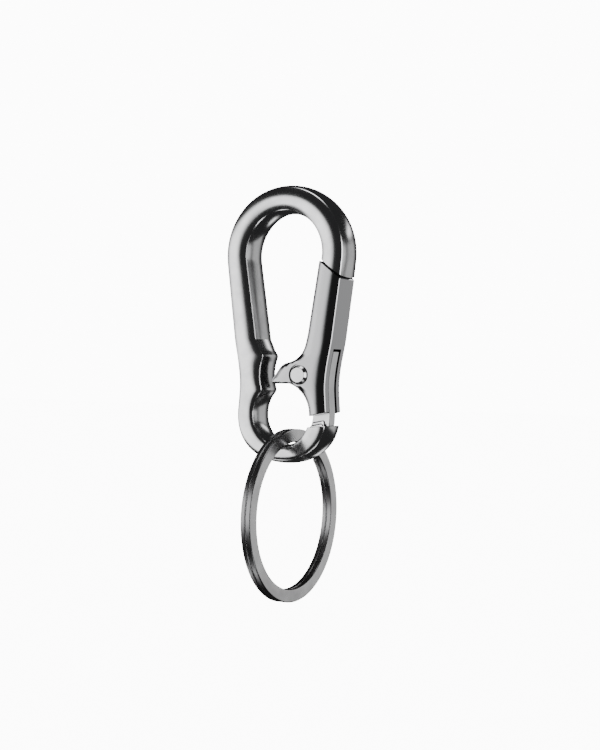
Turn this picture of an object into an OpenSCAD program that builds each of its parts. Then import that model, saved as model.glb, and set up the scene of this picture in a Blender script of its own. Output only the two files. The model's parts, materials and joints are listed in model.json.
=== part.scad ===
// Carabiner keyring: a pear-shaped cast hook with an inward-opening sprung gate,
// and a flat-wire split ring that hangs in the small eye under the gate.
// Frame: origin at the centre of the top bow, +Z up, +X towards the gate,
// -Y towards the face that shows. Millimetres.

/* [Hook] */
// Outside radius of the top bow
bow_out_r = 14.0; // [13.6:0.1:14.4]
// Inside radius of the top bow, where a strap or bar sits
bow_in_r = 8.5; // [8.4:0.1:9]
// Width of the flat side wall, measured front to back
flat_w = 6.2; // [5.8:0.1:6.8]
// Height of the crown on the front and on the back
crown_h = 0.6; // [0.4:0.1:0.8]
// Radius of the small eye that holds the split ring
eye_r = 6.3; // [6.2:0.1:6.6]

/* [Gate] */
// Gap between the nose of the hook and the top of the gate
nose_gap = 0.4; // [0.2:0.1:0.6]
// Slope of the cut between nose and gate, in degrees
nose_slope = 37; // [33:1:42]
// Thickness of the tongue that the gate straddles
tongue_t = 2.3; // [2.1:0.1:2.3]
// Width of the channel in the gate
channel_w = 3.2; // [3.2:0.1:3.4]
// How far the gate opens, in degrees
gate_travel = 30; // [20:1:30]

/* [Pivot and spring] */
// Radius of the pivot pin's shank
pin_r = 1.0; // [0.8:0.05:1.0]
// Radius of the pivot pin's heads
pin_head_r = 1.95; // [1.8:0.05:1.95]
// Diameter of the spring wire
spring_wire_d = 0.36; // [0.3:0.02:0.36]

/* [Split ring] */
// Outside diameter of the split ring
ring_d = 35; // [34:0.5:36]
// Radial width of its flat wire
wire_w = 2.6; // [2.4:0.1:2.8]
// Thickness of one turn of the wire
wire_t = 1.08; // [0.9:0.02:1.1]

/* [Hidden] */

cast_colour = [0.36, 0.36, 0.37];
steel_colour = [0.62, 0.62, 0.63];

round_fn = 96;
eps = 0.01;
far = 30;

// Pear outline: two straight flanks leave the bow and run into a waist and a round foot.
flank_tilt = 7.5;
inner_tilt = 9;
flank_end_z = -17;
waist = [[10.85, -22.4], [10.45, -26.2], [10.6, -29.6]];
foot_c_z = -32.3;
foot_half_w = 10.8;
foot_depth = 9.9;
foot_power = 2.2;

eye_z = -32.3;
pin_x = 4.25;
pin_z = -24.35;
pin_at = [pin_x, pin_z];

// Crown: two thin layers on each face, set in from the edge.
crown_layers = [[0, 0.5], [0.5, 1]];
crown_insets = [0.6, 1.3];

// Left inside edge: a straight run, a step in to the upper cusp, then a scallop round the pin.
inner_run_end_z = -17.2;
upper_cusp = [-4.4, -20.3];
scallop_r = 9.1;
scallop_foot_z = -28.5;

// Nose cut and shoulder under the gate's tail.
nose_in = [8.5, -1.25];
shoulder_in = [5.83, -34.7];
shoulder_out = [9.3, -34.2];

// Gate
gate_proud = 0.15;
// How far the gate's outer face lies inside the hook's outline
gate_inset = 0.45;
tail_out_z = -31.7;
tail_in_z = -32.6;
horn_tip = [-2.35, -25.75];
horn_top = [
    [-2.3, -25.35], [-1.25, -23.95], [-0.25, -22.75], [0.6, -22.15], [2.1, -21.75],
    [3.2, -21.25], [4.35, -20.25], [5.05, -19.1], [5.5, -17.6]
];
horn_edge_a = 109;
outer_web_z = -19.1;

// Tongue
tongue_top_z = -19.6;
tongue_back = 7.4;
tongue_inset = 0.6;
boss_r = 2.2;
boss_tangent_a = 123.7;
stop_a = 252;
pin_clear = 0.05;
boss_clear = 0.15;
stop_clear = 1.5;

// Pivot pin
head_sink = 0.3;
head_rise = 0.45;
recess_r = 2.05;

// Torsion spring on the back half of the pin, with one leg in each part
coil_r = 1.36;
coil_pitch = 0.38;
coil_end_y = 1.385;
coil_from = 15;
coil_to = 1055;
gate_leg = 7.0;
tongue_leg = 2.3;
pocket_r = 1.72;
pocket_floor_y = 0.05;
leg_slot_w = 0.6;

// Split ring
turn_gap = 0.08;
wire_bevel = 0.22;
cross_mid_a = 31;
cross_span = 22;
end_gap = 2;
ring_clear = 0.06;
ring_x = 1;

full_t = flat_w + 2 * crown_h;
inner_r = ring_d / 2 - wire_w;
turn_x = (wire_t + turn_gap) / 2;
bar_top_z = eye_z - sqrt(eye_r * eye_r - pow(ring_x + turn_x + wire_t / 2, 2));
ring_c_z = bar_top_z + ring_clear - sqrt(inner_r * inner_r - pow(flat_w / 2, 2));

function polar(r, a) = [r * cos(a), r * sin(a)];
function lerp(a, b, t) = a + (b - a) * t;

// X of the straight flank and of the straight inside edge at height z, set in by i
function flank_x(z, i = 0) = (bow_out_r - i + z * sin(flank_tilt)) / cos(flank_tilt);
function inner_x(z, i = 0) = (bow_in_r + i + z * sin(inner_tilt)) / cos(inner_tilt);

// Smooth curve through points p, n steps a span, with end slopes taken from ghost points
function spline(p, n) = [
    for (k = [1 : len(p) - 3], s = [0 : n - 1])
        let (t = s / n, a = p[k - 1], b = p[k], c = p[k + 1], d = p[k + 2])
            0.5 * (2 * b + (c - a) * t + (2 * a - 5 * b + 4 * c - d) * t * t
                + (3 * b - a - 3 * c + d) * t * t * t)
];

// Right-hand outside edge from the bow down to the foot, set in by i
function side_points(i) = [
    for (p = spline(concat(
        [[flank_x(flank_end_z + 5), flank_end_z + 5], [flank_x(flank_end_z), flank_end_z]],
        waist,
        [[foot_half_w, foot_c_z], foot_point(12)]), 4)) [p.x - i, p.y]
];

// Foot: a slightly squared half ellipse
function foot_point(a, i = 0) = [
    (foot_half_w - i) * sign(cos(a)) * pow(abs(cos(a)), 2 / foot_power),
    foot_c_z - (foot_depth - i) * pow(abs(sin(a)), 2 / foot_power)
];
function foot_points(i) = [for (a = [0 : 6 : 180]) foot_point(a, i)];

function mirrored(p) = [for (k = [len(p) - 1 : -1 : 0]) [-p[k].x, p[k].y]];

module outline(i = 0) {
    tangent = polar(bow_out_r - i, -flank_tilt);
    side = concat([tangent], side_points(i));
    circle(r = bow_out_r - i, $fn = round_fn);
    polygon(concat([[0, 0]], side, foot_points(i), mirrored(side)));
}

// The free space inside the hook, with everything that the gate fills
module hook_space(i = 0) {
    circle(r = bow_in_r + i, $fn = round_fn);
    polygon([
        [0, 0], -1 * polar(bow_in_r + i, inner_tilt),
        [-inner_x(inner_run_end_z, i), inner_run_end_z],
        upper_cusp - [i, 0], [0, upper_cusp.y]
    ]);
    polygon([[0, 0], polar(bow_in_r + i, -inner_tilt), [inner_x(-6, i), -6], [0, -6]]);
    intersection() {
        translate(pin_at) circle(r = scallop_r + i, $fn = round_fn);
        polygon([
            [-far, upper_cusp.y], [0, upper_cusp.y],
            [0, scallop_foot_z], [-far, scallop_foot_z]
        ]);
    }
    translate([0, eye_z]) circle(r = eye_r + i, $fn = round_fn);
    gate_space();
}

module gate_space() {
    nose_far = nose_in + far * [cos(nose_slope), -sin(nose_slope)];
    polygon([
        [0, 0], nose_in, nose_far, [far, shoulder_out.y],
        shoulder_out, shoulder_in, [0, eye_z]
    ]);
}

// Extrudes a layer of a flat shape between y = from and y = to
module layer(from, to) {
    translate([0, to, 0]) rotate([90, 0, 0])
        linear_extrude(height = to - from) children();
}

// Tongue: boss round the pin, rising to the slot and rooted on the whole bar
module tongue_shape() {
    difference() {
        union() {
            translate(pin_at) circle(r = boss_r, $fn = round_fn);
            intersection() {
                outline(tongue_inset);
                polygon([
                    [tongue_back, tongue_top_z], pin_at + polar(boss_r, boss_tangent_a),
                    pin_at, pin_at + polar(boss_r * 1.5, stop_a),
                    [shoulder_in.x - 2, shoulder_in.y], [shoulder_in.x, shoulder_in.y - 1],
                    [far, shoulder_in.y - 1], [far, tongue_top_z]
                ]);
            }
        }
        translate([0, eye_z]) circle(r = eye_r, $fn = round_fn);
    }
}

module spring_pocket() {
    layer(pocket_floor_y, tongue_t) {
        translate(pin_at) circle(r = pocket_r, $fn = round_fn);
        translate(pin_at + polar(coil_r, coil_from)) rotate(coil_from - 90)
            translate([0, -leg_slot_w / 2]) square([tongue_leg + 0.3, leg_slot_w]);
    }
}

module pin_bore(r) {
    translate([pin_x, 0, pin_z]) rotate([90, 0, 0])
        cylinder(r = r, h = far, center = true, $fn = round_fn);
}

module hook_frame() {
    color(cast_colour) difference() {
        union() {
            layer(-flat_w / 2, flat_w / 2) difference() {
                outline();
                hook_space();
            }
            for (side = [-1, 1], k = [0, 1])
                crown_layer(side, k) difference() {
                    outline(crown_insets[k]);
                    hook_space(crown_insets[k]);
                }
            layer(-tongue_t / 2, tongue_t / 2) tongue_shape();
        }
        pin_bore(pin_r + pin_clear);
        spring_pocket();
    }
}

// Layer k of the crown on one face; side is -1 for the front and 1 for the back
module crown_layer(side, k) {
    low = flat_w / 2 + crown_h * crown_layers[k][0] - (k == 0 ? eps : 0);
    high = flat_w / 2 + crown_h * crown_layers[k][1];
    layer(side > 0 ? low : -high, side > 0 ? high : -low) children();
}

module gate_shape(i = 0) {
    drop = nose_gap / cos(nose_slope);
    top = nose_in - [0, drop];
    top_far = top + far * [cos(nose_slope), -sin(nose_slope)];
    top_near = top - 4 * [cos(nose_slope), -sin(nose_slope)];
    difference() {
        intersection() {
            outline(i + gate_inset);
            polygon(concat(
                [top_near, top_far, [far, tail_out_z], [foot_half_w, tail_out_z],
                    [eye_r - 0.5, tail_in_z], [0, eye_z]],
                [polar(eye_r, horn_edge_a) + [0, eye_z], horn_tip + [i, 0]],
                [for (p = horn_top) p + [i, -i / 2]],
                [[inner_x(horn_top[8].y + 2, i - gate_proud), horn_top[8].y + 2],
                    [inner_x(top.y, i - gate_proud), top.y + 0.4]]
            ));
        }
        circle(r = bow_in_r + 0.05 + i, $fn = round_fn);
        translate([0, eye_z]) circle(r = eye_r + i, $fn = round_fn);
    }
}

// Channel: room for the tongue through the gate's whole travel, and a hole for the spring's leg
module channel_shape() {
    translate(pin_at) circle(r = boss_r + boss_clear, $fn = round_fn);
    polygon([
        [tongue_back - 0.3, outer_web_z], [far, outer_web_z], [far, -far - 20],
        pin_at + polar(14, stop_a - gate_travel - stop_clear), pin_at,
        pin_at + polar(boss_r + boss_clear, boss_tangent_a)
    ]);
}

module gate_lever() {
    leg_at = pin_at + polar(coil_r, coil_to);
    color(cast_colour) difference() {
        union() {
            layer(-flat_w / 2, flat_w / 2) gate_shape();
            for (side = [-1, 1], k = [0, 1])
                crown_layer(side, k) gate_shape(crown_insets[k]);
        }
        layer(-channel_w / 2, channel_w / 2) channel_shape();
        layer(tongue_t / 2, channel_w / 2)
            translate(leg_at) rotate(coil_to + 90)
                translate([0, -leg_slot_w / 2]) square([gate_leg + 0.3, leg_slot_w]);
        pin_bore(pin_r);
        for (side = [-1, 1])
            translate([pin_x, side * (full_t / 2 - head_sink + far / 2), pin_z])
                rotate([90, 0, 0])
                    cylinder(r = recess_r, h = far, center = true, $fn = round_fn);
    }
}

module pivot_pin() {
    color(steel_colour) translate([pin_x, 0, pin_z]) rotate([90, 0, 0]) {
        cylinder(r = pin_r, h = full_t - 2 * head_sink + 2 * eps, center = true, $fn = round_fn);
        for (side = [-1, 1])
            translate([0, 0, side * (full_t / 2 + (head_rise - head_sink) / 2)])
                cylinder(r = pin_head_r, h = head_sink + head_rise, center = true, $fn = round_fn);
    }
}

// Tube of n sides swept along path points p; u and v are the section's axes at each point
module tube(p, u, v, section) {
    n = len(section);
    m = len(p);
    points = [for (k = [0 : m - 1], s = section) p[k] + s.x * u[k] + s.y * v[k]];
    walls = [
        for (k = [0 : m - 2], s = [0 : n - 1])
            [k * n + s, k * n + (s + 1) % n, (k + 1) * n + (s + 1) % n, (k + 1) * n + s]
    ];
    polyhedron(points, concat(
        walls,
        [[for (s = [n - 1 : -1 : 0]) s]],
        [[for (s = [0 : n - 1]) (m - 1) * n + s]]
    ), convexity = 6);
}

// A point on the coil at angle a, in the row frame, and its radial direction
function coil_y(a) = coil_end_y - coil_pitch * (coil_to - a) / 360;
function coil_point(a) = [pin_x + coil_r * cos(a), coil_y(a), pin_z + coil_r * sin(a)];
function coil_out(a) = [cos(a), 0, sin(a)];
function coil_along(a) = [-sin(a), 0, cos(a)];

module return_spring() {
    r = spring_wire_d / 2;
    step = (coil_to - coil_from) / 52;
    turns = [for (a = [coil_from : step : coil_to]) a];
    path = concat(
        [coil_point(coil_from) - tongue_leg * coil_along(coil_from)],
        [for (a = turns) coil_point(a)],
        [coil_point(coil_to) + gate_leg * coil_along(coil_to)]
    );
    out = concat([coil_out(coil_from)], [for (a = turns) coil_out(a)], [coil_out(coil_to)]);
    section = [for (a = [0 : 45 : 315]) polar(r, a)];
    color(steel_colour) tube(path, out, [for (q = path) [0, 1, 0]], section);
}

// Bevelled section of the flat wire, at radius offset x and thickness offset y
function wire_section() = let (w = wire_w / 2, t = wire_t / 2, b = wire_bevel) [
    [-w, -t + b], [-w + b, -t], [w - b, -t], [w, -t + b],
    [w, t - b], [w - b, t], [-w + b, t], [-w, t - b]
];
wire_mid_r = ring_d / 2 - wire_w / 2;
cross_start = cross_mid_a - cross_span / 2;

function smooth(t) = t * t * (3 - 2 * t);

// X of the wire's middle at angle a, measured from the top towards +Y
function wire_x(a) = ring_x + lerp(-turn_x, turn_x,
    smooth(max(0, min(1, (a - cross_start) / cross_span))));

function steps_between(from, to, n) = [for (k = [0 : n - 1]) lerp(from, to, k / n)];

// One wire: a flat turn, a short crossing, then a second flat turn beside the first
module split_ring() {
    turn = 360 - cross_span - end_gap;
    cross_end = cross_start + cross_span;
    angles = concat(
        steps_between(cross_start - turn, cross_start, 60),
        steps_between(cross_start, cross_end, 8),
        steps_between(cross_end, cross_end + turn, 60),
        [cross_end + turn]
    );
    path = [for (a = angles)
        [wire_x(a), wire_mid_r * sin(a), ring_c_z + wire_mid_r * cos(a)]];
    out = [for (a = angles) [0, sin(a), cos(a)]];
    across = [for (a = angles) [1, 0, 0]];
    color(steel_colour) tube(path, out, across, wire_section());
}

hook_frame();
gate_lever();
pivot_pin();
return_spring();
split_ring();
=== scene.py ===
"""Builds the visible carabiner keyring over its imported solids, and a plain studio round it."""

import json
import math

import bmesh
import bpy
from bpy.props import FloatProperty, FloatVectorProperty, IntProperty, PointerProperty
from mathutils import Matrix, Vector


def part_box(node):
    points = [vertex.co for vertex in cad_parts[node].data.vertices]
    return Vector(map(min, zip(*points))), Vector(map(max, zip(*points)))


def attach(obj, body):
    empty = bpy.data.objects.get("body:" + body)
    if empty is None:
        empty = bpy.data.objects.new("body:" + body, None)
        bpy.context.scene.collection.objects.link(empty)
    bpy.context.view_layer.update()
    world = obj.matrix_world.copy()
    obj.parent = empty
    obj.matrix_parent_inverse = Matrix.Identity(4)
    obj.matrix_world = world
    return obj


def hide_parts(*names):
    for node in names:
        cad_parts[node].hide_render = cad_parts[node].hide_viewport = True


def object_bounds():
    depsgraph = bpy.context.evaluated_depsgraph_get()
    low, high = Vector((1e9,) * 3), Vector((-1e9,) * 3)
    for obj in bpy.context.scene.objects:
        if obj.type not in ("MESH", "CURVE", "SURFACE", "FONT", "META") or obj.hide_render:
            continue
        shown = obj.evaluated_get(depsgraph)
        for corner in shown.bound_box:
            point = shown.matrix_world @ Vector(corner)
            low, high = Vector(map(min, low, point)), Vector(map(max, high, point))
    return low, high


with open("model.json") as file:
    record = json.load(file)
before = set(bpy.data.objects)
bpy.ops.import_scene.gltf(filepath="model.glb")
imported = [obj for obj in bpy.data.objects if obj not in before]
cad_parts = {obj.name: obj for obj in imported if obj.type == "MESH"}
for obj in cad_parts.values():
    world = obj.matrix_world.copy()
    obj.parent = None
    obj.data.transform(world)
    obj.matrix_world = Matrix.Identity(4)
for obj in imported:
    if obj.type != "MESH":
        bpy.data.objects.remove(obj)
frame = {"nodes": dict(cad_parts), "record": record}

bl_info = {
    "name": "Carabiner keyring",
    "version": (1, 0, 0),
    "blender": (4, 5, 0),
    "location": "View3D > Sidebar > Keyring",
    "description": "Builds a carabiner keyring with a sprung gate and a split ring",
    "category": "Object",
}

CAD_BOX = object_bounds()
JOINTS = {joint["name"]: joint for joint in frame["record"]["behaviour"]["joints"]}

# The shapes are worked out in millimetres and the finished meshes are brought to metres.
MM = 0.001
GATE_AT = [1000 * v for v in JOINTS["gate_pivot"]["pos_m"]]
EYE_AT = [1000 * v for v in JOINTS["ring_swing"]["pos_m"]]
BOW_R = frame["record"]["mounts"][0]["dims"]["r_mm"]


def size(name, millimetres, description, low=0.0, high=100.0):
    """A length shown in the panel, stored in metres."""
    return FloatProperty(
        name=name, description=description, default=millimetres * MM,
        min=low * MM, max=high * MM, unit="LENGTH", subtype="DISTANCE", precision=5,
    )


def share(name, value, description, low=0.0, high=1.0):
    return FloatProperty(
        name=name, description=description, default=value,
        min=low, max=high, subtype="FACTOR",
    )


def tone(name, grey, description):
    """A near-neutral metal or paint colour."""
    return FloatVectorProperty(
        name=name, description=description, default=grey,
        min=0.0, max=1.0, size=3, subtype="COLOR",
    )


class HookSizes(bpy.types.PropertyGroup):
    """Sizes of the cast hook"""

    flat_half: size("Half flat", 3.1, "From mid-plane to the edge of the flat side wall")
    crown: size("Crown", 0.6, "Height of the dome above the side wall's edge")
    foot_crown: size("Foot crown", 0.3, "Height of the dome round the small eye")
    edge: size("Edge", 0.13, "Width of the bright eased edge")
    belly: size("Belly", 0.55, "How far the side walls swell between their edges")
    tongue_half: size("Half tongue", 1.15, "Half the thickness of the tongue")
    tongue_edge: size("Tongue edge", 0.09, "Easing on the tongue's edges")


class GateSizes(bpy.types.PropertyGroup):
    """Sizes of the gate"""

    inset: size("Inset", 0.45, "How far the gate's outer face lies inside the hook's outline")
    crown: size("Crown", 0.6, "Height of the gate's dome")
    outer_roll: size("Outer roll", 2.3, "How far in from the outer edge the dome starts")
    inner_roll: size("Inner roll", 1.5, "How far in from the inner edge the dome starts")
    channel_half: size("Half channel", 1.6, "Half the width of the gate's channel")
    recess: size("Recess", 2.2, "Radius of the round recess under the pin's head")
    recess_depth: size("Recess depth", 0.3, "Depth of the round recess")


class PinSizes(bpy.types.PropertyGroup):
    """Sizes of the pivot pin"""

    shank: size("Shank", 1.0, "Radius of the shank")
    head: size("Head", 1.95, "Radius of the head's foot")
    top: size("Top", 1.5, "Radius of the head's flat top")
    rise: size("Rise", 0.45, "Height of the head above the gate's face")


class RingSizes(bpy.types.PropertyGroup):
    """Sizes of the split ring"""

    wire_width: size("Wire width", 2.6, "Radial width of the flat wire")
    wire_thick: size("Wire thickness", 1.08, "Thickness of one turn")
    gap: size("Gap", 0.08, "Gap between the two turns")
    corner: size("Corner", 0.2, "Rounding of the wire's corners")
    steps: IntProperty(
        name="Steps", description="Stations in one turn of the wire",
        default=150, min=24, max=400,
    )


class FinishSettings(bpy.types.PropertyGroup):
    """Colours and polish of the metals"""

    plating: tone("Plating", (0.66, 0.66, 0.665), "Colour of the dark nickel plating")
    plating_deep: tone("Plating, deep", (0.5, 0.5, 0.51), "Colour where the plating is thicker")
    ring_tone: tone("Ring", (0.74, 0.74, 0.745), "Colour of the split ring")
    # Painted shade: a darker colour for the ring's round faces, not a different metal
    ring_rim_shade: tone("Ring, rims", (0.24, 0.24, 0.243), "Colour of the ring's round faces")
    ring_deep: tone("Ring, deep", (0.6, 0.6, 0.605), "Colour of the ring where it is duller")
    polish: share("Polish", 0.17, "Roughness of the hook, gate and pin")
    ring_polish: share("Ring polish", 0.27, "Roughness of the split ring")


class StageSettings(bpy.types.PropertyGroup):
    """Camera, lights and floor"""

    camera_turn: FloatProperty(
        name="Camera turn", description="Turn of the camera to the object's right",
        default=math.radians(30), subtype="ANGLE", unit="ROTATION",
    )
    camera_roll: FloatProperty(
        name="Camera roll", description="Lean of the object in the frame",
        default=math.radians(1), subtype="ANGLE", unit="ROTATION",
    )
    lens: FloatProperty(
        name="Lens", description="Focal length on a 36 mm sensor", default=71.04, min=10, max=300,
    )
    floor_drop: size("Floor drop", 60, "How far the floor lies below the ring")
    floor_tone: tone("Floor", (0.97, 0.97, 0.97), "Colour of the floor")


GROUPS = {
    "hook": HookSizes, "gate": GateSizes, "pin": PinSizes,
    "ring": RingSizes, "finish": FinishSettings, "stage": StageSettings,
}


class KeyringSettings(bpy.types.PropertyGroup):
    """All the keyring's settings"""

    hook: PointerProperty(type=HookSizes)
    gate: PointerProperty(type=GateSizes)
    pin: PointerProperty(type=PinSizes)
    ring: PointerProperty(type=RingSizes)
    finish: PointerProperty(type=FinishSettings)
    stage: PointerProperty(type=StageSettings)


def settings(context, group):
    return getattr(context.scene.keyring, group)


def mm(length):
    return length / MM


# ---------------------------------------------------------------- outlines, in millimetres

BOW_OUT = CAD_BOX[1][0] * 1000
FLANK_TILT = math.radians(7.5)
INNER_TILT = math.radians(9)
FOOT_HALF, FOOT_DEPTH, FOOT_POWER = 10.8, 9.9, 2.2
EYE_R = 6.3
SCALLOP_R = 9.1
SPINE_END = -17.2
UPPER_CUSP = Vector((-4.4, -20.3))
NOSE_IN, NOSE_OUT = -1.19, -4.99
GATE_CLEAR = 0.15
TONGUE_TOP, TONGUE_FOOT = -19.6, -34.9
TONGUE_INSET, TONGUE_TRIM = 0.6, 0.15
BOSS_R, BOSS_CLEAR = 2.2, 0.15
BOSS_START = 123.7  # degrees, where the tongue's back edge meets its boss
CHANNEL_TOP, CHANNEL_BACK = -19.1, 7.1
BEYOND = 20  # well outside the gate
PIN = Vector((GATE_AT[0], GATE_AT[2]))
EYE = Vector((EYE_AT[0], EYE_AT[2]))


def polar(centre, radius, degrees):
    a = math.radians(degrees)
    return centre + radius * Vector((math.cos(a), math.sin(a)))


def between(a, b, count, ends=True):
    """count even steps from a to b; the last step is left out where the next run starts on it."""
    return [a + (b - a) * k / (count - 1 if ends else count) for k in range(count)]


def smooth_line(points, steps):
    """A smooth curve through all points but the first and last, which set its ends' slope."""
    curve = []
    for a, b, c, d in zip(points, points[1:], points[2:], points[3:]):
        for k in range(steps):
            t = k / steps
            curve.append(0.5 * (
                2 * b + (c - a) * t + (2 * a - 5 * b + 4 * c - d) * t * t
                + (3 * b - a - 3 * c + d) * t ** 3
            ))
    return curve + [points[-2]]


def flank_x(z):
    return (BOW_OUT + z * math.sin(FLANK_TILT)) / math.cos(FLANK_TILT)


def inner_x(z):
    return (BOW_R + z * math.sin(INNER_TILT)) / math.cos(INNER_TILT)


def foot_point(degrees):
    """The foot's outside; 180 is its left end, 270 its lowest point."""
    a = math.radians(degrees)
    x = FOOT_HALF * math.copysign(abs(math.cos(a)) ** (2 / FOOT_POWER), math.cos(a))
    return Vector((x, EYE.y - FOOT_DEPTH * abs(math.sin(a)) ** (2 / FOOT_POWER)))


WAIST = smooth_line([
    Vector((flank_x(-12), -12)), Vector((flank_x(-17), -17)),
    Vector((10.85, -22.4)), Vector((10.45, -26.2)), Vector((10.6, -29.6)),
    Vector((FOOT_HALF, EYE.y)), foot_point(-12),
], 8)


def outside_x(z):
    """Half width of the hook's outside at height z, from the bow to the foot."""
    if z > -BOW_OUT * math.sin(FLANK_TILT):
        return math.sqrt(BOW_OUT ** 2 - z * z)
    if z > -17:
        return flank_x(z)
    for a, b in zip(WAIST, WAIST[1:]):
        if b.y <= z:
            return a.x + (b.x - a.x) * (z - a.y) / (b.y - a.y)
    return FOOT_HALF * (1 - ((EYE.y - z) / FOOT_DEPTH) ** FOOT_POWER) ** (1 / FOOT_POWER)


def inside_x(z):
    """Half width of the hook's inside above the step."""
    if z > -BOW_R * math.sin(INNER_TILT):
        return math.sqrt(BOW_R ** 2 - z * z)
    return inner_x(z)


def hook_stations():
    """(inner point, outer point) pairs from the nose, over the bow and round the foot."""
    pairs = []
    for t in between(0, 1, 10, ends=False):
        zi, zo = NOSE_IN * (1 - t), NOSE_OUT * (1 - t)
        pairs.append((Vector((inside_x(zi), zi)), Vector((outside_x(zo), zo))))
    origin = Vector((0, 0))
    for a in between(0, 180, 80, ends=False):
        pairs.append((polar(origin, BOW_R, a), polar(origin, BOW_OUT, a)))
    for z in between(0, SPINE_END, 30, ends=False):
        pairs.append((Vector((-inside_x(z), z)), Vector((-outside_x(z), z))))
    run_end = Vector((-inside_x(SPINE_END), SPINE_END))
    for t in between(0, 1, 9, ends=False):
        z = SPINE_END - 3.2 * t
        pairs.append((run_end.lerp(UPPER_CUSP, t), Vector((-outside_x(z), z))))
    for t in between(0, 1, 18, ends=False):
        zi, zo = UPPER_CUSP.y - 7.15 * t, -20.4 - 6.9 * t
        xi = PIN.x - math.sqrt(SCALLOP_R ** 2 - (zi - PIN.y) ** 2)
        pairs.append((Vector((xi, zi)), Vector((-outside_x(zo), zo))))
    for t in between(0, 1, 14, ends=False):
        z = -27.3 + (EYE.y + 27.3) * t
        inner = polar(EYE, EYE_R, 131.7 + 48.3 * t)
        pairs.append((inner, Vector((-outside_x(z), z))))
    for t in between(0, 1, 64):
        pairs.append((polar(EYE, EYE_R, 180 + 157.4 * t), foot_point(180 + 170 * t)))
    return eased_inside(pairs, 120, 163, 2)


def eased_inside(pairs, first, last, times):
    """Takes the sharpness off the cusps by averaging the inner points of a run of stations."""
    inner = [p for p, _ in pairs]
    for _ in range(times):
        inner = [
            (inner[k - 1] + 2 * p + inner[k + 1]) / 4 if first < k < last else p
            for k, p in enumerate(inner)
        ]
    return [(p, q) for p, (_, q) in zip(inner, pairs)]


def gate_stations(inset):
    """(inner point, outer point) pairs from the gate's top, round its horn, to its tail."""
    def outer(z):
        return Vector((outside_x(z) - inset, z))

    pairs = []
    top, arm_end = Vector((8.2, -1.56)), Vector((5.98, -15.6))
    for t in between(0, 1, 24, ends=False):
        pairs.append((top.lerp(arm_end, t), outer(-5.14 - 11.09 * t)))
    horn = smooth_line([Vector(p) for p in (
        (6.3, -13.6), (5.98, -15.6), (5.55, -17.6), (5.08, -19.1), (4.35, -20.25), (3.2, -21.2),
        (2.1, -21.7), (0.65, -22.1), (-0.3, -22.8), (-1.3, -24.1), (-2.3, -25.4), (-2.7, -26.1),
    )], 5)
    for k, p in enumerate(horn):
        pairs.append((p, outer(-16.23 - 7.8 * k / len(horn))))
    for k, p in enumerate(((-2.42, -25.66), (-2.38, -25.92), (-2.2, -26.07))):
        pairs.append((Vector(p), outer(-24.1 - 0.15 * k)))
    for t in between(0, 1, 44):
        pairs.append((polar(EYE, EYE_R + GATE_CLEAR, 108 - 109.8 * t), outer(-24.6 - 7.1 * t)))
    return pairs


# ---------------------------------------------------------------- mesh helpers


def add_loop(bm, points):
    """A closed ring of edges through the points."""
    verts = [bm.verts.new(p) for p in points]
    return [bm.edges.new((a, b)) for a, b in zip(verts, verts[1:] + verts[:1])]


def loft(bm, sections):
    """Skins a row of closed sections and caps both ends."""
    loops = [add_loop(bm, points) for points in sections]
    for a, b in zip(loops, loops[1:]):
        bmesh.ops.bridge_loops(bm, edges=a + b)
    for end in (loops[0], loops[-1]):
        bmesh.ops.contextual_create(bm, geom=end)
    return loops


def prism(bm, outline, low, high):
    """Extrudes a flat outline between two depths."""
    edges = add_loop(bm, [Vector((p.x, low, p.y)) for p in outline])
    face = bmesh.ops.contextual_create(bm, geom=edges)["faces"][0]
    grown = bmesh.ops.extrude_face_region(bm, geom=[face])["geom"]
    verts = [g for g in grown if isinstance(g, bmesh.types.BMVert)]
    bmesh.ops.translate(bm, verts=verts, vec=(0, high - low, 0))
    return face


def join(bm, part):
    """Adds another mesh in progress to this one and lets it go."""
    spare = bpy.data.meshes.new("spare")
    part.to_mesh(spare)
    part.free()
    bm.from_mesh(spare)
    bpy.data.meshes.remove(spare)


def ease(bm, edges, width, segments=2):
    bmesh.ops.bevel(
        bm, geom=edges, offset=width, offset_type="OFFSET", affect="EDGES",
        segments=segments, profile=0.5, material=-1, clamp_overlap=True,
    )


def sharp_edges(bm, degrees):
    limit = math.radians(degrees)
    return [e for e in bm.edges if len(e.link_faces) == 2 and e.calc_face_angle(0) > limit]


def lathe(bm, profile, centre, steps=72):
    """Turns a profile of (radius, depth) points about the depth axis through centre."""
    verts = [bm.verts.new((centre.x + r, y, centre.y)) for r, y in profile]
    edges = [bm.edges.new(pair) for pair in zip(verts, verts[1:])]
    bmesh.ops.spin(
        bm, geom=verts + edges, cent=(centre.x, 0, centre.y), axis=(0, 1, 0), dvec=(0, 0, 0),
        angle=2 * math.pi, steps=steps, use_merge=True, use_duplicate=False,
    )
    bmesh.ops.remove_doubles(bm, verts=bm.verts, dist=0.0005)


def to_object(bm, name):
    """A working object in millimetres, not yet part of the keyring."""
    bmesh.ops.recalc_face_normals(bm, faces=bm.faces)
    mesh = bpy.data.meshes.new(name)
    bm.to_mesh(mesh)
    bm.free()
    return bpy.data.objects.new(name, mesh)


def cut(target, cutter):
    """Cuts one working object out of another for good."""
    scene = bpy.context.scene.collection
    for obj in (target, cutter):
        scene.objects.link(obj)
    change = target.modifiers.new("cut", "BOOLEAN")
    change.operation, change.solver, change.object = "DIFFERENCE", "EXACT", cutter
    depsgraph = bpy.context.evaluated_depsgraph_get()
    mesh = bpy.data.meshes.new_from_object(target.evaluated_get(depsgraph))
    name = target.name
    for obj in (target, cutter):
        bpy.data.objects.remove(obj)
    if not mesh.polygons:
        raise RuntimeError("the cut left nothing of " + name)
    mesh.name = name
    return bpy.data.objects.new(name, mesh)


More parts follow.
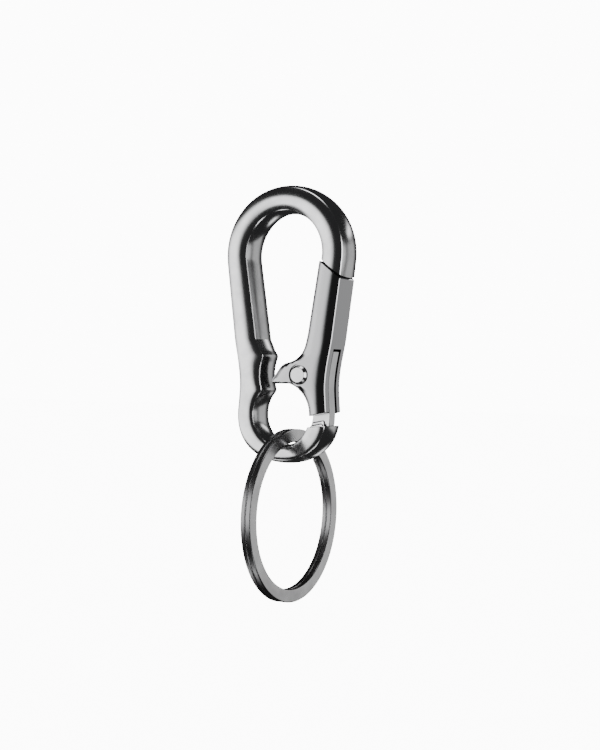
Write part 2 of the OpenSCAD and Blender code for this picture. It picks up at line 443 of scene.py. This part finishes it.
def finish_piece(obj, material, body, node, crease=10):
    """Brings a working object to metres and makes it stand for its solid."""
    mesh = obj.data
    mesh.transform(Matrix.Scale(MM, 4))
    mesh.shade_smooth()
    mesh.set_sharp_from_angle(angle=math.radians(crease))
    mesh.materials.clear()
    mesh.materials.append(material)
    bpy.context.scene.collection.objects.link(obj)
    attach(obj, body)
    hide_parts(node)
    return obj


def domed_section(inner, outer, half, edge, height, belly=0.0):
    """One closed section between an inner and an outer point, with domed faces and swelling walls.

    height gives the dome above the wall's edge at a distance from the inner edge."""
    along = (outer - inner).normalized()
    inner, outer = inner + belly / 2 * along, outer - belly * along
    width = (outer - inner).length
    clear = width - 2 * edge
    stops = [0.5 - 0.5 * math.cos(math.pi * k / 18) for k in range(19)]
    face = [(edge + clear * s, half + height(clear * s, clear)) for s in stops]
    wall_half = half - edge
    swell = [(1 - k / 4, belly * (1 - (1 - k / 4) ** 2)) for k in range(9)]
    ring = [(-b, -wall_half * y) for y, b in reversed(swell)]
    ring += [(d, -y) for d, y in face]
    ring += [(width + b, -wall_half * y) for y, b in swell]
    ring += [(d, y) for d, y in reversed(face)]
    return [
        Vector((inner.x + along.x * d, y, inner.y + along.y * d)) for d, y in ring
    ]


# ---------------------------------------------------------------- materials


class Wire:
    """A shader socket that can be added, multiplied and so on, each adding a Math node."""

    def __init__(self, finish, socket):
        self.finish, self.socket = finish, socket

    def _maths(self, operation, first, second):
        return self.finish.add("ShaderNodeMath", {"operation": operation}, {0: first, 1: second})

    def __add__(self, other):
        return self._maths("ADD", self, other)

    def __radd__(self, other):
        return self._maths("ADD", other, self)

    def __sub__(self, other):
        return self._maths("SUBTRACT", self, other)

    def __rsub__(self, other):
        return self._maths("SUBTRACT", other, self)

    def __mul__(self, other):
        return self._maths("MULTIPLY", self, other)

    def __rmul__(self, other):
        return self._maths("MULTIPLY", other, self)


class Finish:
    """A material or world being wired up."""

    def __init__(self, owner):
        owner.use_nodes = True
        self.owner, self.tree = owner, owner.node_tree
        self.tree.nodes.clear()

    def add(self, kind, choices=None, sockets=None, out=0):
        """A node with its choices made and its sockets set or wired; returns one output."""
        node = self.tree.nodes.new(kind)
        for key, value in (choices or {}).items():
            if key == "stops":
                ramp = node.color_ramp.elements
                for k, (place, grey) in enumerate(value):
                    stop = ramp[k] if k < len(ramp) else ramp.new(place)
                    stop.position, stop.color = place, (grey, grey, grey, 1)
            else:
                setattr(node, key, value)
        for key, value in (sockets or {}).items():
            if isinstance(value, Wire):
                self.tree.links.new(value.socket, node.inputs[key])
            else:
                node.inputs[key].default_value = value
        return Wire(self, node.outputs[out]) if node.outputs else node


def metal(name, light, deep, roughness, grain, lay, rim_shade=None):
    """Plated metal: cloudy plating, faint polishing lines along lay, and a little unevenness.

    The rim colour, where given, is a painted shade on the faces that don't look along the piece's
    X."""
    finish = Finish(bpy.data.materials.new(name))
    place = finish.add("ShaderNodeTexCoord", out="Object")
    lines_at = finish.add("ShaderNodeMapping", {}, {"Vector": place, "Scale": lay})
    clouds = finish.add("ShaderNodeTexNoise", {}, {
        "Vector": place, "Scale": 260.0, "Detail": 4.0, "Roughness": 0.55})
    lines = finish.add("ShaderNodeTexNoise", {}, {
        "Vector": lines_at, "Scale": 1.0, "Detail": 3.0, "Roughness": 0.6})
    specks = finish.add("ShaderNodeTexNoise", {}, {
        "Vector": place, "Scale": 2600.0, "Detail": 2.0})
    dull = finish.add("ShaderNodeValToRGB", {"stops": [(0.35, 0.0), (0.7, 1.0)]}, {0: clouds})
    colour = finish.add("ShaderNodeMix", {"data_type": "RGBA"}, {
        0: dull * 0.7 + specks * 0.3, 6: (*light, 1), 7: (*deep, 1)}, out=2)
    # Painted shade: faces that don't look along X get the darker rim colour
    if rim_shade:
        facing = finish.add("ShaderNodeTexCoord", out="Normal")
        across = finish.add("ShaderNodeSeparateXYZ", {}, {0: facing}, out=0)
        flat = finish.add(
            "ShaderNodeMapRange", {"interpolation_type": "SMOOTHSTEP"},
            {"Value": across * across, "From Min": 0.5, "From Max": 0.95})
        colour = finish.add("ShaderNodeMix", {"data_type": "RGBA"}, {
            0: flat, 6: (*rim_shade, 1), 7: colour}, out=2)
    rough = roughness - 0.05 + 0.07 * dull + 0.06 * lines
    height = 0.6 * lines + 0.25 * specks + clouds
    bump = finish.add("ShaderNodeBump", {}, {
        "Strength": grain, "Distance": 0.00003, "Height": height})
    shader = finish.add("ShaderNodeBsdfPrincipled", {}, {
        "Base Color": colour, "Metallic": 1.0, "Roughness": rough, "Normal": bump})
    finish.add("ShaderNodeOutputMaterial", {}, {"Surface": shader})
    return finish.owner


# ---------------------------------------------------------------- operators


class KEYRING_OT_hook_frame(bpy.types.Operator):
    """Build the cast hook with its domed faces, eased edges and tongue"""

    bl_idname = "keyring.hook_frame"
    bl_label = "Hook frame"

    def execute(self, context):
        s, f = settings(context, "hook"), settings(context, "finish")
        half, edge = mm(s.flat_half), mm(s.edge)
        bm = bmesh.new()
        sections = []
        for inner, outer in hook_stations():
            low = min(1, max(0, (inner.y + 22) / -10))
            crown = mm(s.crown) + (mm(s.foot_crown) - mm(s.crown)) * low
            power = 2.2 + 1.8 * low  # the foot is flatter, with a tighter turn at its edges
            sections.append(domed_section(
                inner, outer, half, edge,
                lambda d, w: crown * (1 - abs(2 * d / w - 1) ** power), mm(s.belly)))
        loops = loft(bm, sections)
        ease(bm, loops[0] + loops[-1], edge * 0.8, 1)
        hook = self.tongue(bm, mm(s.tongue_half), mm(s.tongue_edge))
        plating = metal("dark_plating", f.plating, f.plating_deep, f.polish, 0.1, (900, 900, 90))
        finish_piece(hook, plating, "hook", "hook_frame")
        return {"FINISHED"}

    def tongue(self, bm, half, edge):
        """Adds the tongue, rooted in the foot by two ledges, with a boss round the pin."""
        outline = [Vector((7.4, TONGUE_TOP))]
        outline += [polar(PIN, BOSS_R, a) for a in between(BOSS_START, 248, 22)]
        outline += [
            polar(EYE, EYE_R + TONGUE_TRIM * min(1, max(0, (a - 20) / 30)), a)
            for a in between(57, -22, 24)
        ]
        outline += [Vector((6.6, -35.6)), Vector((8.4, -35.6))]
        outline += [
            Vector((outside_x(z) - TONGUE_INSET, z))
            for z in between(TONGUE_FOOT, TONGUE_TOP, 26)
        ]
        blade = bmesh.new()
        prism(blade, outline, -half, half)
        bmesh.ops.recalc_face_normals(blade, faces=blade.faces)
        ease(blade, sharp_edges(blade, 50), edge)
        join(bm, blade)
        for rise, reach in ((0, 1.3), (0.6, 0.6)):
            step = bmesh.new()
            ledge = [
                Vector((6.2, -35.3)), Vector((6.35, -34.35 + rise)),
                Vector((8.9, -33.85 + rise)), Vector((9.1, -34.8)),
            ]
            prism(step, ledge, -half - reach, half + reach)
            bmesh.ops.recalc_face_normals(step, faces=step.faces)
            ease(step, sharp_edges(step, 50), 0.25, 1)
            join(bm, step)
        return to_object(bm, "hook_frame_cast")


class KEYRING_OT_gate_lever(bpy.types.Operator):
    """Build the gate with its horn, its two cheeks and the recesses for the pin's heads"""

    bl_idname = "keyring.gate_lever"
    bl_label = "Gate lever"

    def execute(self, context):
        s, h, f = (settings(context, g) for g in ("gate", "hook", "finish"))
        half, edge = mm(h.flat_half), mm(h.edge)
        pairs = gate_stations(mm(s.inset))
        last = len(pairs) - 1
        reach = []
        for k, (inner, outer) in enumerate(pairs):
            tangent = pairs[min(k + 1, last)][0] - pairs[max(k - 1, 0)][0]
            lean = abs(tangent.normalized().cross((outer - inner).normalized()))
            reach.append(mm(s.inner_roll) / max(lean, 0.5))
        for _ in range(6):
            reach = [
                (reach[max(k - 1, 0)] + 2 * reach[k] + reach[min(k + 1, last)]) / 4
                for k in range(last + 1)
            ]
        bm = bmesh.new()
        sections = [
            domed_section(a, b, half, edge, self.dome(mm(s.crown), r, mm(s.outer_roll)))
            for (a, b), r in zip(pairs, reach)
        ]
        loops = loft(bm, sections)
        ease(bm, loops[0] + loops[-1], edge, 1)
        gate = cut(to_object(bm, "gate_lever_cast"), self.hollow(s, half))
        plating = bpy.data.materials["dark_plating"]
        finish_piece(gate, plating, "gate", "gate_lever")
        return {"FINISHED"}

    def dome(self, crown, reach_in, reach_out):
        """A face that is level in the middle and rolls down to both edges."""
        def height(d, width):
            scale = min(1, width / (reach_in + reach_out))
            into = min(1, d / (reach_in * scale))
            out_of = min(1, (width - d) / (reach_out * scale))
            return crown * (1 - (1 - into) ** 2) * (1 - (1 - out_of) ** 2)
        return height

    def hollow(self, s, half):
        """The channel for the tongue and the two round recesses."""
        bm = bmesh.new()
        outline = [Vector((CHANNEL_BACK, CHANNEL_TOP))]
        outline += [
            polar(PIN, BOSS_R + BOSS_CLEAR, a) for a in between(BOSS_START, 220, 16)
        ]
        outline += [
            polar(PIN, 14, 220), Vector((0, -40)), Vector((BEYOND, -40)),
            Vector((BEYOND, CHANNEL_TOP)),
        ]
        channel = mm(s.channel_half)
        prism(bm, outline, -channel, channel)
        face = half + mm(s.crown)
        for side in (-1, 1):
            disc = [polar(PIN, mm(s.recess), a) for a in between(0, 360, 72, ends=False)]
            near, far = side * (face - mm(s.recess_depth)), side * (face + 2)
            prism(bm, disc, min(near, far), max(near, far))
        return to_object(bm, "gate_hollow")


class KEYRING_OT_pivot_pin(bpy.types.Operator):
    """Turn the pivot pin with its two flat-topped heads"""

    bl_idname = "keyring.pivot_pin"
    bl_label = "Pivot pin"

    def execute(self, context):
        s, h, f = (settings(context, g) for g in ("pin", "hook", "finish"))
        face = mm(h.flat_half) + mm(h.crown)
        top, floor = face + mm(s.rise), face - 0.29
        head, flat, shank = mm(s.head), mm(s.top), mm(s.shank)
        one_end = [
            (0, top), (flat * 0.5, top), (flat - 0.05, top), (flat + 0.03, top - 0.04),
            (head - 0.12, top - 0.36), (head - 0.02, top - 0.5), (head, top - 0.56),
            (head, floor), (shank, floor),
        ]
        bm = bmesh.new()
        lathe(bm, one_end + [(r, -y) for r, y in reversed(one_end)], PIN)
        steel = metal("pin_steel", f.plating, f.plating_deep, f.polish, 0.08, (700, 700, 700))
        finish_piece(to_object(bm, "pivot_pin_turned"), steel, "gate", "pivot_pin")
        return {"FINISHED"}


class KEYRING_OT_return_spring(bpy.types.Operator):
    """Give the return spring its drawn-wire finish"""

    bl_idname = "keyring.return_spring"
    bl_label = "Return spring"

    def execute(self, context):
        f = settings(context, "finish")
        wire = metal("spring_wire", f.ring_tone, f.ring_deep, 0.3, 0.2, (3000, 3000, 3000))
        mesh = frame["nodes"]["return_spring"].data
        mesh.materials.clear()
        mesh.materials.append(wire)
        return {"FINISHED"}


class KEYRING_OT_split_ring(bpy.types.Operator):
    """Wind the split ring from flat wire with rounded corners"""

    bl_idname = "keyring.split_ring"
    bl_label = "Split ring"

    cross_middle, cross_span, end_gap = 31, 22, 2

    def execute(self, context):
        s, f = settings(context, "ring"), settings(context, "finish")
        low, high = (Vector(c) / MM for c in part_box("split_ring"))
        outer_r = (high.z - low.z) / 2
        centre_x, centre_z = (high.x + low.x) / 2, (high.z + low.z) / 2
        step = (mm(s.wire_thick) + mm(s.gap)) / 2
        mid_r = outer_r - mm(s.wire_width) / 2
        section = self.wire(mm(s.wire_width) / 2, mm(s.wire_thick) / 2, mm(s.corner))
        start = self.cross_middle - self.cross_span / 2
        turn = 360 - self.cross_span - self.end_gap
        sections = []
        for a in between(start - turn, start + self.cross_span + turn, 2 * s.steps):
            t = min(1, max(0, (a - start) / self.cross_span))
            x = centre_x + step * (2 * t * t * (3 - 2 * t) - 1)
            out = Vector((0, math.sin(math.radians(a)), math.cos(math.radians(a))))
            sections.append([
                Vector((x + across, 0, centre_z)) + (mid_r + radial) * out
                for radial, across in section
            ])
        bm = bmesh.new()
        loops = loft(bm, sections)
        ease(bm, loops[0] + loops[-1], 0.08, 1)
        # The ring's round faces get a painted shade, darker than its flat faces
        steel = metal(
            "ring_steel", f.ring_tone, f.ring_deep, f.ring_polish, 0.03, (600, 200, 200),
            rim_shade=f.ring_rim_shade)
        ring = to_object(bm, "split_ring_wound")
        finish_piece(ring, steel, "ring", "split_ring", crease=24)
        return {"FINISHED"}

    def wire(self, w, t, r):
        """The flat wire's section as (radial, across) points."""
        corners = ((w - r, t - r, 0), (r - w, t - r, 90), (r - w, r - t, 180), (w - r, r - t, 270))
        section = []
        for x, y, a in corners:
            dx, dy = math.cos(math.radians(a)), math.sin(math.radians(a))
            section.append((x + r * dx + 0.04 * dy, y + r * dy - 0.04 * dx))
            section += [
                (x + r * math.cos(math.radians(a + k)), y + r * math.sin(math.radians(a + k)))
                for k in range(0, 91, 18)
            ]
            section.append((x - r * dy - 0.04 * dx, y + r * dx - 0.04 * dy))
        return section


class KEYRING_OT_stage(bpy.types.Operator):
    """Set up the camera, the soft lights and the pale floor"""

    bl_idname = "keyring.stage"
    bl_label = "Stage"

    # name, turn from the front towards the left, height angle, distance, width, height,
    # brightness, and the soft part of its width and height
    panels = (
        ("key_left", 50, 0, 0.34, 0.80, 0.38, 3.0, 0.4, 0.3),
        ("edge_right", -66, 0, 0.34, 0.14, 0.36, 4.5, 0.3, 0.2),
        ("side_right", -112, 2, 0.36, 0.20, 0.30, 1.6, 0.5, 0.3),
        ("overhead", 0, 84, 0.34, 0.34, 0.26, 3.5, 0.4, 0.3),
        ("low_right", -35, -57, 0.30, 0.26, 0.14, 3.2, 0.35, 0.35),
        ("low_left", 72, -58, 0.30, 0.18, 0.16, 2.4, 0.45, 0.45),
        ("back_right", 214, -1.6, 0.36, 0.44, 0.29, 0.72, 0.35, 0.15),
        ("back_right_high", 205, 24, 0.36, 0.34, 0.11, 3.2, 0.4, 0.5),
        ("back_low", 172, -32, 0.36, 0.20, 0.15, 2.8, 0.4, 0.5),
    )

    def execute(self, context):
        s = settings(context, "stage")
        self.camera(context, s)
        self.surroundings(context)
        for panel in self.panels:
            self.panel(context, *panel)
        self.floor(context, s)
        return {"FINISHED"}

    def camera(self, context, s):
        turn = s.camera_turn
        back = Vector((math.sin(turn), -math.cos(turn), 0))
        right = Vector((math.cos(turn), math.sin(turn), 0))
        up = Vector((0, 0, 1))
        data = bpy.data.cameras.new("camera")
        data.lens, data.sensor_width, data.sensor_fit = s.lens, 36, "AUTO"
        data.clip_start = 0.01
        camera = bpy.data.objects.new("camera", data)
        context.scene.collection.objects.link(camera)
        lean_right = math.cos(s.camera_roll) * right + math.sin(s.camera_roll) * up
        lean_up = math.cos(s.camera_roll) * up - math.sin(s.camera_roll) * right
        place = Matrix((lean_right, lean_up, back)).transposed().to_4x4()
        place.translation = Vector((0.001905, 0.0011, -0.02434)) + 0.3 * back
        camera.matrix_world = place
        context.scene.camera = camera

    def surroundings(self, context):
        """A white room for the eye and the floor, and a dark one for reflections."""
        world = Finish(bpy.data.worlds.new("studio"))
        glossy = world.add("ShaderNodeLightPath", out="Is Glossy Ray")
        white = world.add("ShaderNodeBackground", {}, {"Color": (1, 1, 1, 1), "Strength": 12.0})
        dim = world.add("ShaderNodeBackground", {}, {"Color": (0.03, 0.03, 0.031, 1)})
        both = world.add("ShaderNodeMixShader", {}, {0: glossy, 1: white, 2: dim})
        world.add("ShaderNodeOutputWorld", {}, {"Surface": both})
        context.scene.world = world.owner

    def panel(self, context, name, turn, lift, distance, width, height, brightness, *feather):
        """A soft light panel that fades towards its edges and is seen only in reflections."""
        a, e = math.radians(turn), math.radians(lift)
        out = Vector((-math.sin(a) * math.cos(e), -math.cos(a) * math.cos(e), math.sin(e)))
        place = out.to_track_quat("Z", "Y").to_matrix().to_4x4()
        place.translation = Vector((0, 0, -0.015)) + distance * out
        bm = bmesh.new()
        uv = bm.loops.layers.uv.new("UVMap")
        bmesh.ops.create_grid(bm, x_segments=1, y_segments=1, size=0.5, calc_uvs=True)
        bmesh.ops.scale(bm, verts=bm.verts, vec=(width, height, 1))
        bmesh.ops.transform(bm, verts=bm.verts, matrix=place)
        mesh = bpy.data.meshes.new(name)
        bm.to_mesh(mesh)
        bm.free()
        glow = Finish(bpy.data.materials.new(name))
        at = glow.add("ShaderNodeTexCoord", out="UV")
        mask = 1.0
        for axis, soft in enumerate(feather):
            along = glow.add("ShaderNodeSeparateXYZ", {}, {0: at}, out=axis)
            for side in (along, 1 - along):
                mask = mask * glow.add(
                    "ShaderNodeMapRange", {"interpolation_type": "SMOOTHSTEP"},
                    {"Value": side, "From Min": 0.0, "From Max": soft})
        clear = glow.add("ShaderNodeBsdfTransparent")
        light = glow.add("ShaderNodeEmission", {}, {"Strength": brightness})
        both = glow.add("ShaderNodeMixShader", {}, {0: mask * mask, 1: clear, 2: light})
        glow.add("ShaderNodeOutputMaterial", {}, {"Surface": both})
        mesh.materials.append(glow.owner)
        panel = bpy.data.objects.new(name, mesh)
        panel.visible_camera = panel.visible_diffuse = panel.visible_shadow = False
        context.scene.collection.objects.link(panel)

    def floor(self, context, s):
        bm = bmesh.new()
        bmesh.ops.create_grid(bm, x_segments=8, y_segments=8, size=4.0)
        bmesh.ops.translate(
            bm, verts=bm.verts, vec=(0, 0, CAD_BOX[0][2] - s.floor_drop))
        mesh = bpy.data.meshes.new("floor")
        bm.to_mesh(mesh)
        bm.free()
        paint = Finish(bpy.data.materials.new("floor_paint"))
        place = paint.add("ShaderNodeTexCoord", out="Object")
        mottle = paint.add("ShaderNodeTexNoise", {}, {"Vector": place, "Scale": 3.0})
        shader = paint.add("ShaderNodeBsdfPrincipled", {}, {
            "Base Color": (*s.floor_tone, 1), "Roughness": 0.8 + 0.1 * mottle,
            "Specular IOR Level": 0.0})
        paint.add("ShaderNodeOutputMaterial", {}, {"Surface": shader})
        mesh.materials.append(paint.owner)
        floor = bpy.data.objects.new("floor", mesh)
        floor.visible_glossy = False
        context.scene.collection.objects.link(floor)


class KEYRING_PT_panel(bpy.types.Panel):
    """Settings and build buttons"""

    bl_idname = "KEYRING_PT_panel"
    bl_label = "Carabiner keyring"
    bl_space_type = "VIEW_3D"
    bl_region_type = "UI"
    bl_category = "Keyring"

    def draw(self, context):
        for group, kind in GROUPS.items():
            box = self.layout.box()
            box.label(text=group.capitalize())
            for name in kind.__annotations__:
                box.prop(settings(context, group), name)
        for operator in BUILD_ORDER:
            self.layout.operator(operator.bl_idname)


BUILD_ORDER = (
    KEYRING_OT_hook_frame, KEYRING_OT_gate_lever, KEYRING_OT_pivot_pin,
    KEYRING_OT_return_spring, KEYRING_OT_split_ring, KEYRING_OT_stage,
)
CLASSES = (*GROUPS.values(), KeyringSettings, *BUILD_ORDER, KEYRING_PT_panel)


def register():
    for cls in CLASSES:
        bpy.utils.register_class(cls)
    bpy.types.Scene.keyring = PointerProperty(type=KeyringSettings)


def unregister():
    del bpy.types.Scene.keyring
    for cls in reversed(CLASSES):
        bpy.utils.unregister_class(cls)


def main():
    register()
    for operator in BUILD_ORDER:
        group, name = operator.bl_idname.split(".")
        getattr(getattr(bpy.ops, group), name)()


if __name__ == "__main__":
    main()
